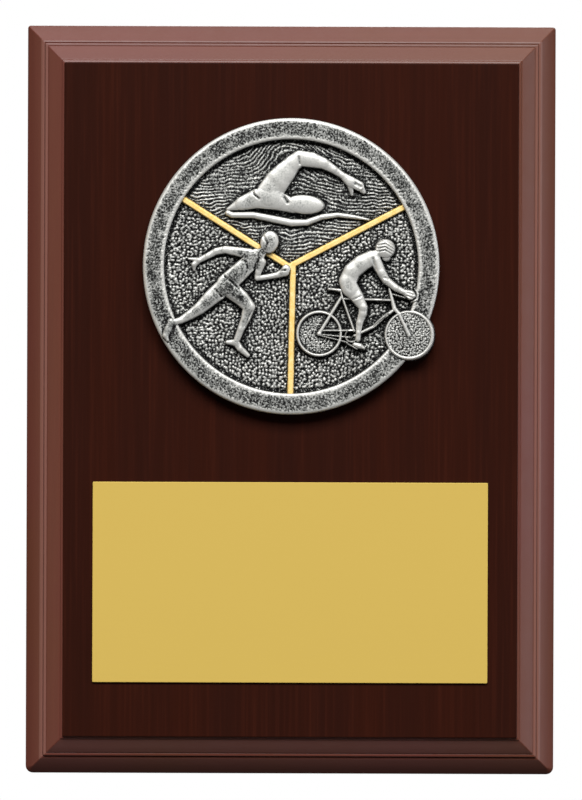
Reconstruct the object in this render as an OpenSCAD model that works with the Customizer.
// Triathlon award plaque: a moulded board with a cast medallion, an engraving plate,
// and a hanger, a folding strut and bumpers on its back.
// X runs across the board, Z up it, and the face looks along -Y.
// The origin is the centre of the hanger's entry hole, on the plane of the board's back.

/* [Board] */
// Width of the board
board_w = 125; // [100:1:160]
// Height of the board
board_h = 177; // [172:1:230]
// Thickness of the board with its face and back sheets
board_t = 15; // [12.5:0.5:25]
// Thickness of the lacquered face sheet
face_sheet_t = 0.6; // [0.3:0.1:1.2]
// Thickness of the back sheet
back_sheet_t = 0.4; // [0.2:0.1:0.8]
// Distance from the board's edge to the back sheet's edge
back_sheet_inset = 0.8; // [0.4:0.1:3]
// Radius of the board's two upper corners
corner_r = 0.7; // [0.5:0.1:4]
// Radius of the board's two lower corners
low_corner_r = 1.7; // [0.5:0.1:4]

/* [Moulded edge] */
// Width of the outer rounded band
outer_band_w = 4; // [2.5:0.1:5]
// Rise of the outer rounded band
outer_band_h = 4.3; // [2.5:0.1:5]
// Width of the step between the bands
step_w = 0.8; // [0.5:0.1:2]
// Rise of the step between the bands
step_h = 0.5; // [0.2:0.1:1]
// Width of the inner rounded band
inner_band_w = 3.5; // [2.5:0.1:5]
// Rise of the inner rounded band
inner_band_h = 2.6; // [1.5:0.1:4]
// Width of the quirk beside the face
quirk_w = 0.5; // [0.3:0.1:1.5]
// Rise of the quirk beside the face
quirk_h = 0.4; // [0.2:0.1:1]
// How far the middle of each band bulges
band_bulge = 0.3; // [0.1:0.05:0.5]

/* [Medallion] */
// Diameter of the medallion
medal_d = 70; // [50:1:84]
// Distance from the face's top edge to the medallion
medal_top_margin = 13.1; // [6:0.1:20]
// Thickness of the medallion under its field
medal_base_t = 2.2; // [1.5:0.1:4]
// Width of the medallion's rim
rim_w = 5; // [3:0.1:7]
// Height of the rim above the field
rim_h = 1.8; // [1:0.1:3]
// Rounding at the rim's outer edge
rim_edge_r = 0.6; // [0.2:0.1:1.2]
// Distance from the medallion's edge to its adhesive pad
pad_inset = 3; // [1:0.5:8]
// Thickness of the adhesive pad
pad_t = 0.6; // [0.4:0.1:1.5]
// Width of the gold divider bars
bar_w = 1.3; // [0.8:0.1:2]
// Height of the divider bars above the field
bar_h = 0.9; // [0.5:0.1:1.4]
// Height of the swimmer above the field
swimmer_h = 2.3; // [1.5:0.1:4]
// Height of the runner above the field
runner_h = 2.6; // [2.2:0.1:4]
// Height of the bicycle above the field
bicycle_h = 2.2; // [2:0.1:3]
// Height of the cyclist above the field
cyclist_h = 3; // [2.5:0.1:4]

/* [Engraving plate] */
// Height of the engraving plate
plate_h = 47.4; // [30:0.1:60]
// Distance from the engraving plate's ends to the face's side edges
plate_side_margin = 7; // [3:0.1:15]
// Distance from the engraving plate to the face's bottom edge
plate_low_margin = 12.9; // [6:0.1:20]
// Thickness of the engraving plate
plate_t = 0.5; // [0.3:0.1:1]
// Radius of the engraving plate's corners
plate_corner_r = 0.3; // [0.2:0.1:2]
// Thickness of the tape under the engraving plate
tape_t = 0.2; // [0.1:0.1:0.5]
// Distance from the engraving plate's edge to its tape
tape_inset = 1.5; // [0.5:0.5:5]

/* [Keyhole hanger] */
// Distance from the board's top edge to the entry hole's centre
keyhole_down = 28.5; // [24:0.5:40]
// Radius of the entry hole
entry_r = 4.75; // [4:0.05:6]
// Radius of the slot's closed end
slot_r = 2.5; // [2:0.1:3]
// Distance from the entry hole's centre to the slot's closed end
slot_rise = 8; // [7.5:0.1:12]
// Width of the hanger
hanger_w = 16; // [14:0.5:22]
// Thickness of the hanger
hanger_t = 1.2; // [1:0.1:2]
// Distance from the slot's closed end up to the upper screw
hanger_screw_up = 8; // [7:0.5:12]
// Distance from the entry hole's centre down to the lower screw
hanger_screw_down = 11; // [10.5:0.5:16]
// Gap around the hanger in its recess
recess_gap = 0.2; // [0.1:0.1:0.6]
// Depth of the pocket for the wall screw's head, behind the hanger
pocket_depth = 6; // [4.5:0.5:8]
// Room around the entry hole in that pocket
pocket_room = 1.25; // [0.5:0.25:2]

/* [Screws] */
// Radius of the screws over their threads
thread_r = 1.4; // [1.2:0.1:1.7]
// Depth of the threads
thread_depth = 0.35; // [0.2:0.05:0.5]
// Pitch of the threads
thread_pitch = 1.1; // [0.8:0.1:1.5]
// Length of the screws in the board
screw_len = 8.5; // [6:0.5:10]
// Radius of the screw heads
head_r = 2.8; // [2.4:0.1:3.2]
// Height of the strut screws' pan heads
pan_head_h = 1.4; // [1:0.1:2]
// Gap around a screw in its hole
screw_gap = 0.1; // [0.05:0.05:0.3]

/* [Strut] */
// Height of the strut's hinge above the board's bottom edge
hinge_up = 95; // [80:1:98]
// Distance from the board's bottom edge to the folded leg's tip
toe_gap = 3; // [2:0.5:20]
// Furthest angle the leg swings out
open_deg = 28; // [20:1:35]
// Thickness of the pressed steel
steel_t = 1; // [0.8:0.1:1.4]
// Width of the strut's base
base_w = 24; // [22:0.5:34]
// Height of the strut's base above the hinge
base_h = 28; // [26:0.5:30]
// Radius of the hinge pin
pin_r = 0.9; // [0.75:0.05:1.2]
// Radial running clearance of the leg on the pin
pin_run = 0.06; // [0.02:0.01:0.1]
// Gap around the pin where the base grips it
pin_grip = 0.02; // [0.01:0.01:0.03]
// Wall of the hinge knuckles around the pin
knuckle_wall = 0.9; // [0.7:0.05:1.3]
// Length of the leg's knuckle
leg_knuckle_w = 8.6; // [7:0.2:12]
// Length of each of the base's knuckles
ear_w = 5; // [3.5:0.1:6]
// Gap between pieces that move past each other
move_gap = 0.3; // [0.2:0.05:0.5]
// Width of the leg at its top
leg_top_w = 20; // [16:0.5:26]
// Width of the leg at its foot
leg_foot_w = 13; // [10:0.5:16]
// Depth of the leg's side flanges
flange_h = 1.6; // [0.8:0.1:1.8]
// Height of the rubber cap on the leg's foot
cap_h = 8; // [5:0.5:12]
// Wall of the rubber cap
cap_wall = 0.4; // [0.3:0.05:0.4]

/* [Wall bumpers] */
// Radius of the bumpers' wide ends
bumper_r = 4.8; // [3:0.1:8]
// Radius of the bumpers' flat faces
bumper_face_r = 3.2; // [2:0.1:5]
// Distance from the board's edges to the bumpers' centres
bumper_inset = 11; // [9:0.5:20]
// Distance that the bumpers stand proud of the strut's knuckles
bumper_proud = 0.4; // [0.2:0.1:1]

/* [Hidden] */
$fn = 96;

core_t = board_t - face_sheet_t - back_sheet_t;
mould_w = outer_band_w + step_w + inner_band_w + quirk_w;
square_h = core_t - outer_band_h - step_h - inner_band_h - quirk_h;
face_w = board_w - 2 * mould_w;
face_h = board_h - 2 * mould_w;
board_z = keyhole_down - board_h / 2;
face_top = board_z + face_h / 2;
face_low = board_z - face_h / 2;

medal_r = medal_d / 2;
medal_z = face_top - medal_top_margin - medal_r;
field_r = medal_r - rim_w;
// The figures are drawn on a medallion of 70 mm.
figure_scale = medal_d / 70;

plate_w = face_w - 2 * plate_side_margin;
plate_z = face_low + plate_low_margin + plate_h / 2;

pocket_r = entry_r + pocket_room;
upper_screw_z = slot_rise + hanger_screw_up;
pilot_r = thread_r + screw_gap;

hinge_z = board_z - board_h / 2 + hinge_up;
knuckle_r = pin_r + knuckle_wall;
hinge_y = knuckle_r + move_gap;
leg_len = hinge_up - toe_gap;
ear_x = leg_knuckle_w / 2 + move_gap;
leg_in = hinge_y - knuckle_r / 2 - steel_t / 2;
blade_up = knuckle_r + 2 * move_gap;
// The heel laps over the base by this much when the leg is fully out.
heel_lap = 1.6;
heel_len = knuckle_r + move_gap + heel_lap;
heel_w = leg_knuckle_w - 2;
neck_w = leg_knuckle_w - 0.6;
// The heel then stops this far from the base.
stop_gap = 0.08;
strut_screw_up = [11, 23];
bumper_h = hinge_y + knuckle_r + bumper_proud;
// Cuts run past the faces they open by this much.
past = 1;

// ---------- outlines ----------

// Points from p to q along a shallow curve that bows to the left of the way by sag.
function bow(p, q, sag, steps = 8) =
    let (side = [p.y - q.y, q.x - p.x] / norm(q - p))
    [for (i = [0:steps]) let (t = i / steps) p + t * (q - p) + 4 * sag * t * (1 - t) * side];

// The moulded edge: [distance in from the board's edge, height above the core's back].
function moulding() =
    let (
        band_1 = [0, square_h],
        step_1 = band_1 + [outer_band_w, outer_band_h],
        step_2 = step_1 + [step_w, step_h],
        quirk_1 = step_2 + [inner_band_w, inner_band_h]
    )
    concat(
        [[0, 0]],
        bow(band_1, step_1, band_bulge),
        bow(step_2, quirk_1, band_bulge),
        [[mould_w, core_t]]
    );

function section(w) =
    let (edge = moulding(), n = len(edge))
    concat(
        [for (p = edge) [p.x - w / 2, p.y]],
        [for (i = [n - 1:-1:0]) [w / 2 - edge[i].x, edge[i].y]]
    );

// A rectangle with round corners, whose two lower corners have a radius of their own.
function round_box(w, h, r, low_r, steps = 6) = [
    for (c = [[1, 1, 0, r], [-1, 1, 90, r], [-1, -1, 180, low_r], [1, -1, 270, low_r]], i = [0:steps])
        let (turn = c[2] + 90 * i / steps)
        [c.x * (w / 2 - c[3]), c.y * (h / 2 - c[3])] + c[3] * [cos(turn), sin(turn)]
];

// An upright slot outline from low to high, with round ends.
function slot_box(low, high, r, steps = 12) = concat(
    [for (i = [0:steps]) [0, high] + r * [cos(180 * i / steps), sin(180 * i / steps)]],
    [for (i = [0:steps]) [0, low] - r * [cos(180 * i / steps), sin(180 * i / steps)]]
);

// ---------- placing ----------

// Drawn flat, with Y up the board and Z towards the viewer: stands it up, its base at depth y.
module facing(y) {
    translate([0, y, 0]) rotate([90, 0, 0]) children();
}

// A sheet or plate that lies on plane y and grows towards the viewer.
module sheet(y, t) {
    facing(y) linear_extrude(t) children();
}

module at_screws_of_hanger() {
    for (z = [-hanger_screw_down, upper_screw_z])
        translate([0, 0, z]) children();
}

module at_screws_of_strut() {
    for (up = strut_screw_up)
        translate([0, 0, hinge_z + up]) children();
}

// A round thing about the Y axis: its profile's Y runs out of the board's back.
module turned(points) {
    rotate([-90, 0, 0]) rotate_extrude() polygon(points);
}

// ---------- board ----------

module moulded_bar(w, length) {
    rotate([90, 0, 0]) linear_extrude(length, center = true) polygon(section(w));
}

module pilot_hole(depth) {
    translate([0, past, 0]) rotate([90, 0, 0]) cylinder(r = pilot_r, h = depth + past);
}

module hanger_recess() {
    translate([0, past, 0])
        sheet(0, hanger_t + past)
            polygon(slot_box(-hanger_screw_down, upper_screw_z, hanger_w / 2 + recess_gap));
}

module board_core() {
    color("#5b2b22") difference() {
        translate([0, -back_sheet_t, board_z]) rotate([90, 0, 0]) intersection() {
            moulded_bar(board_w, board_h + past);
            rotate([0, 0, 90]) moulded_bar(board_h, board_w + past);
            linear_extrude(core_t) polygon(round_box(board_w, board_h, corner_r, low_corner_r));
        }
        hanger_recess();
        sheet(past, hanger_t + pocket_depth + past) polygon(slot_box(0, slot_rise, pocket_r));
        at_screws_of_hanger() pilot_hole(hanger_t + screw_len + screw_gap);
        at_screws_of_strut() pilot_hole(screw_len + screw_gap);
    }
}

module face_sheet() {
    color("#2e0f0c") translate([0, 0, board_z])
        sheet(face_sheet_t - board_t, face_sheet_t) square([face_w, face_h], center = true);
}

module back_sheet() {
    w = board_w - 2 * back_sheet_inset;
    h = board_h - 2 * back_sheet_inset;
    color("#3a2a22") difference() {
        translate([0, 0, board_z]) sheet(0, back_sheet_t)
            polygon(round_box(w, h, corner_r, low_corner_r));
        hanger_recess();
        at_screws_of_strut() pilot_hole(back_sheet_t + past);
    }
}

// ---------- medallion ----------

// Stands on the board's face, drawn flat about the medallion's centre.
module on_medal(rise) {
    translate([0, 0, medal_z]) facing(-board_t - rise) children();
}

// The disc. As a cutter its back is lowered, and its flat facets lie outside the round edge.
module medal_body(lowered = 0) {
    back = -lowered;
    edge_r = lowered > 0 ? medal_r / cos(180 / $fn) : medal_r;
    field = medal_base_t;
    top = medal_base_t + rim_h;
    rotate_extrude() polygon([
        [0, back], [edge_r, back], [edge_r, top - rim_edge_r],
        [edge_r - 0.3 * rim_edge_r, top - 0.3 * rim_edge_r], [edge_r - rim_edge_r, top],
        [field_r, top], [field_r, field], [0, field]
    ]);
}

module medallion_pad() {
    color("#e8e6e0") on_medal(0) cylinder(r = medal_r - pad_inset, h = pad_t);
}

module medallion_disc() {
    color("#8d8d8b") on_medal(pad_t) medal_body();
}

// A chain of tapering limbs through [x, y, radius].
module limb(stops) {
    for (i = [0:len(stops) - 2])
        hull() {
            for (s = [stops[i], stops[i + 1]])
                translate([s.x, s.y]) circle(r = s.z, $fn = 24);
        }
}

module oval(place, half, turn = 0) {
    translate(place) rotate(turn) scale(half) circle(r = 1, $fn = 40);
}

// Each bar's start near the medallion's middle, and its end under the rim.
bar_lines = [
    [[-0.1, -0.35], [-26.3, 16.25]],
    [[0.3, 0.35], [28, 14.8]],
    [[0.45, 0.2], [-0.1, -32]]
];

module bars_outline() {
    for (line = bar_lines)
        hull() {
            for (place = line)
                translate(place) circle(d = bar_w / figure_scale, $fn = 16);
        }
}

module swimmer_outline() {
    limb([[-14.6, 12.9, 0.5], [-10, 16.2, 2.2], [-4.6, 16.2, 3], [-0.6, 21.6, 2.9], [2.7, 25.6, 2]]);
    limb([[2.7, 25.6, 2], [7.6, 24.2, 2], [11, 22.2, 1.6], [14.4, 19.4, 1.1], [16.2, 18.3, 1.5]]);
    limb([[15.6, 18.6, 0.8], [14.4, 17, 0.5]]);
    limb([[16.6, 18.2, 0.8], [17.6, 17.3, 0.5]]);
    limb([[-10, 15, 1.6], [-2, 14.2, 2]]);
    oval([3.4, 14.2], [4.8, 2.3], -4);
    limb([
        [-15.2, 12.8, 0.4], [-8.7, 12.4, 0.6], [-1.9, 11, 0.7], [2.5, 10, 0.7],
        [5.9, 10.8, 0.7], [9.7, 12, 0.5], [14.1, 11.8, 0.5], [18, 11.1, 0.3]
    ]);
}

module runner_outline() {
    oval([-4.8, 6], [2.2, 2.7], -12);
    limb([[-5.6, 4.2, 1.1], [-7.6, 2.2, 2.3], [-12, -0.8, 2.2], [-15.8, -4.4, 2.3]]);
    limb([[-8.6, 3, 1.5], [-12.6, 4, 1.2], [-17, 3.6, 1], [-21.6, 1.4, 0.8], [-23.8, 1.6, 0.6]]);
    limb([[-22.4, 1, 0.8], [-22.8, -0.6, 0.5]]);
    limb([[-6.8, 1, 1.2], [-7.8, -2.6, 1.1], [-4, -1.9, 0.9], [-1.2, -0.8, 0.9]]);
    limb([[-15, -4.8, 2.2], [-9.4, -8.6, 1.7], [-11.8, -15.8, 1], [-13.8, -17.6, 0.9], [-10.6, -21, 0.7]]);
    limb([[-16.6, -5.2, 2.2], [-21.8, -9.6, 1.6], [-26.8, -13, 0.9], [-29.2, -14.2, 1], [-28.8, -17.2, 0.7]]);
}

// [hub place, outer radius, height of the spokes' disc over the field]
rear_wheel = [[6.6, -15.8], 5.3, 0.5];
front_wheel = [[27.9, -16.2], 5.9, 2];
tyre_w = 0.6;
spokes_up = 0.1;

rear_hub = rear_wheel[0];
front_hub = front_wheel[0];
crank = [14.5, -16.3];
seat = [12, -6.6];
head_top = [23.6, -6];
head_low = [24.6, -9.6];

module bicycle_outline() {
    for (wheel = [rear_wheel, front_wheel])
        translate(wheel[0]) difference() {
            circle(r = wheel[1]);
            circle(r = wheel[1] - tyre_w);
        }
    translate(crank) circle(r = 1.7);
    limb([[8.9, -5.6, 0.5], [12.2, -5.4, 0.6]]);
    limb([[seat.x, seat.y, 0.4], [crank.x, crank.y, 0.4]]);
    limb([[seat.x, seat.y, 0.35], [rear_hub.x, rear_hub.y, 0.6], [crank.x, crank.y, 0.35]]);
    limb([[seat.x + 0.6, -7.8, 0.4], [24, -7.8, 0.4]]);
    limb([[head_top.x, head_top.y, 0.5], [head_low.x, head_low.y, 0.5], [front_hub.x, front_hub.y, 0.5]]);
    limb([[head_low.x, head_low.y, 0.45], [crank.x, crank.y, 0.45]]);
    limb([[head_top.x, head_top.y, 0.4], [29, -6.6, 0.4], [29.4, -8, 0.4]]);
}

module cyclist_outline() {
    oval([22.2, 4], [2.3, 2.3]);
    limb([[20.6, 2.6, 1.7], [17.4, 1.4, 2.4], [13.8, -1.4, 2.1], [13.6, -5, 2.2]]);
    limb([[19.6, 1.6, 1.4], [22.2, -3.2, 1.1], [26.4, -6, 0.8], [28.6, -6.8, 1.1]]);
    limb([[14, -5, 2.2], [17.2, -9.4, 1.5], [16.2, -15.8, 0.8], [16, -17.8, 0.8], [17.4, -19.2, 0.6]]);
}

// A flat figure drawn on the medallion, from the disc's back to a height over the field.
module raised(height) {
    linear_extrude(medal_base_t + height) scale(figure_scale) children();
}

// A figure carved to sit on the disc, so that it also laps over the rim and past its edge.
module carved() {
    on_medal(pad_t) difference() {
        children();
        medal_body(past);
    }
}

module divider_bars() {
    color("#e0ab45") carved() raised(bar_h) intersection() {
        bars_outline();
        circle(r = (medal_r - rim_w / 2) / figure_scale);
    }
}

module swimmer() {
    color("#b5b5b3") carved() raised(swimmer_h) swimmer_outline();
}

module runner() {
    color("#a9a9a7") carved() difference() {
        raised(runner_h) runner_outline();
        raised(bar_h) bars_outline();
    }
}

// The spokes' discs start a little above the tyres' undersides.
module bicycle_solid() {
    raised(bicycle_h) bicycle_outline();
    for (wheel = [rear_wheel, front_wheel])
        translate([0, 0, spokes_up]) raised(wheel[2] - spokes_up)
            translate(wheel[0]) circle(r = wheel[1] - tyre_w / 2);
}

module bicycle() {
    color("#9c9c9a") carved() bicycle_solid();
}

module cyclist() {
    color("#bdbdbb") carved() difference() {
        raised(cyclist_h) cyclist_outline();
        bicycle_solid();
    }
}

// ---------- engraving plate ----------

module plate_tape() {
    color("#d8d2c2") translate([0, 0, plate_z])
        sheet(-board_t, tape_t) square([plate_w - 2 * tape_inset, plate_h - 2 * tape_inset], center = true);
}

module engraving_plate() {
    color("#d8b85c") translate([0, 0, plate_z])
        sheet(-board_t - tape_t, plate_t)
            polygon(round_box(plate_w, plate_h, plate_corner_r, plate_corner_r));
}

// ---------- screws ----------

// Half the outline of a threaded shank that goes down from y = 0 to a point.
function shank(length) =
    let (
        turns = floor((length - 2 * thread_r) / thread_pitch),
        root_r = thread_r - thread_depth
    )
    concat(
        [for (i = [0:turns - 1], p = [[thread_r, i], [root_r, i + 0.5]]) [p.x, -p.y * thread_pitch]],
        [[root_r, 2 * thread_r - length], [0, -length]]
    );

module cross_recess(depth) {
    for (turn = [0, 90])
        rotate([0, turn + 45, 0]) translate([-head_r / 2, -depth, -head_r / 10])
            cube([head_r, depth + past, head_r / 5]);
}

module hanger_screws() {
    color("#c9a24a") at_screws_of_hanger() difference() {
        turned(concat([[0, 0], [head_r, 0]], [for (p = shank(screw_len)) p - [0, hanger_t]]));
        cross_recess(hanger_t * 0.7);
    }
}

module strut_screws() {
    color("#8f8f92") at_screws_of_strut() translate([0, steel_t, 0]) difference() {
        turned(concat(
            [[0, pan_head_h], [0.6 * head_r, pan_head_h], [head_r, 0.4 * pan_head_h], [head_r, 0]],
            shank(screw_len + steel_t - screw_gap)
        ));
        translate([0, pan_head_h, 0]) cross_recess(pan_head_h * 0.7);
    }
}

// ---------- hanger ----------

module keyhole_hanger() {
    color("#d0ad57") difference() {
        sheet(0, hanger_t) polygon(slot_box(-hanger_screw_down, upper_screw_z, hanger_w / 2));
        translate([0, past, 0]) rotate([90, 0, 0]) cylinder(r = entry_r, h = hanger_t + 2 * past);
        translate([0, past, slot_rise]) rotate([90, 0, 0]) cylinder(r = slot_r, h = hanger_t + 2 * past);
        translate([-slot_r, -hanger_t - past, 0]) cube([2 * slot_r, hanger_t + 2 * past, slot_rise]);
        at_screws_of_hanger() turned([
            [0, past], [head_r + 2 * screw_gap, past], [head_r + 2 * screw_gap, 0],
            [pilot_r, -hanger_t], [pilot_r, -hanger_t - past], [0, -hanger_t - past]
        ]);
    }
}

// ---------- strut ----------

// A round bar or hole along the hinge's axis, centred on x.
module along_hinge(r, length, x = 0) {
    translate([x, hinge_y, hinge_z]) rotate([0, 90, 0]) cylinder(r = r, h = length, center = true);
}

module strut_base() {
    low = knuckle_r + move_gap;
    color("#2b2b2d") difference() {
        union() {
            translate([0, steel_t, hinge_z + (low + base_h) / 2])
                sheet(0, steel_t) polygon(round_box(base_w, base_h - low, 2, 2));
            for (side = [-1, 1]) {
                along_hinge(knuckle_r, ear_w, side * (ear_x + ear_w / 2));
                translate([side * (ear_x + ear_w / 2) - ear_w / 2, 0, hinge_z - 0.2])
                    cube([ear_w, steel_t, low + 2.2]);
            }
        }
        along_hinge(pin_r + pin_grip, base_w + 2 * past);
        at_screws_of_strut() translate([0, steel_t + past, 0]) rotate([90, 0, 0])
            cylinder(r = pilot_r, h = steel_t + 2 * past);
    }
}

module strut_pin() {
    reach = ear_x + ear_w;
    color("#b9b9bc") {
        along_hinge(pin_r, 2 * reach + 0.2);
        for (side = [-1, 1])
            along_hinge(pin_r + 0.45, 0.7, side * (reach + 0.45));
    }
}

// The leg's outline from its neck to z = -low, set in by the same amount all round.
module blade(in, low) {
    spread = (leg_top_w - leg_foot_w) / 2 * (low - blade_up) / (leg_len - blade_up);
    polygon([
        [leg_top_w / 2 - in, -blade_up - in], [leg_top_w / 2 - spread - in, -low + in],
        [-leg_top_w / 2 + spread + in, -low + in], [-leg_top_w / 2 + in, -blade_up - in]
    ]);
}

module strut_leg() {
    stop_face = steel_t + stop_gap - hinge_y;
    tray = steel_t + flange_h;
    color("#2b2b2d") difference() {
        union() {
            along_hinge(knuckle_r, leg_knuckle_w);
            translate([0, hinge_y, hinge_z]) rotate([-open_deg, 0, 0])
                translate([-heel_w / 2, stop_face, 0]) cube([heel_w, steel_t, heel_len]);
            translate([-neck_w / 2, leg_in, hinge_z - blade_up - steel_t])
                cube([neck_w, steel_t, blade_up + steel_t]);
            translate([0, 0, hinge_z]) difference() {
                sheet(leg_in + tray, tray) blade(0, leg_len);
                sheet(leg_in + tray + past, flange_h + past) blade(steel_t, leg_len + 2 * steel_t + past);
            }
        }
        along_hinge(pin_r + pin_run, leg_knuckle_w + 2 * past);
    }
}

module leg_cap() {
    taper = (leg_top_w - leg_foot_w) / (leg_len - blade_up) * cap_h;
    w = leg_foot_w + taper + 2 * cap_wall;
    tray = steel_t + flange_h;
    color("#1c1c1c") translate([0, 0, hinge_z]) difference() {
        translate([-w / 2, leg_in - cap_wall, -leg_len - cap_wall])
            cube([w, tray + 2 * cap_wall, cap_h]);
        sheet(leg_in + tray, tray) blade(0, leg_len);
    }
}

// ---------- bumpers ----------

module wall_bumpers() {
    color("#232323") for (x = [-1, 1], z = [-1, 1])
        translate([x * (board_w / 2 - bumper_inset), 0, board_z + z * (board_h / 2 - bumper_inset)])
            turned([
                [0, 0], [bumper_r, 0], [bumper_r, bumper_h * 0.35],
                [bumper_face_r + 0.5, bumper_h - 0.3], [bumper_face_r, bumper_h], [0, bumper_h]
            ]);
}

board_core();
face_sheet();
back_sheet();
medallion_pad();
medallion_disc();
divider_bars();
swimmer();
runner();
bicycle();
cyclist();
plate_tape();
engraving_plate();
keyhole_hanger();
hanger_screws();
strut_base();
strut_screws();
strut_pin();
strut_leg();
leg_cap();
wall_bumpers();
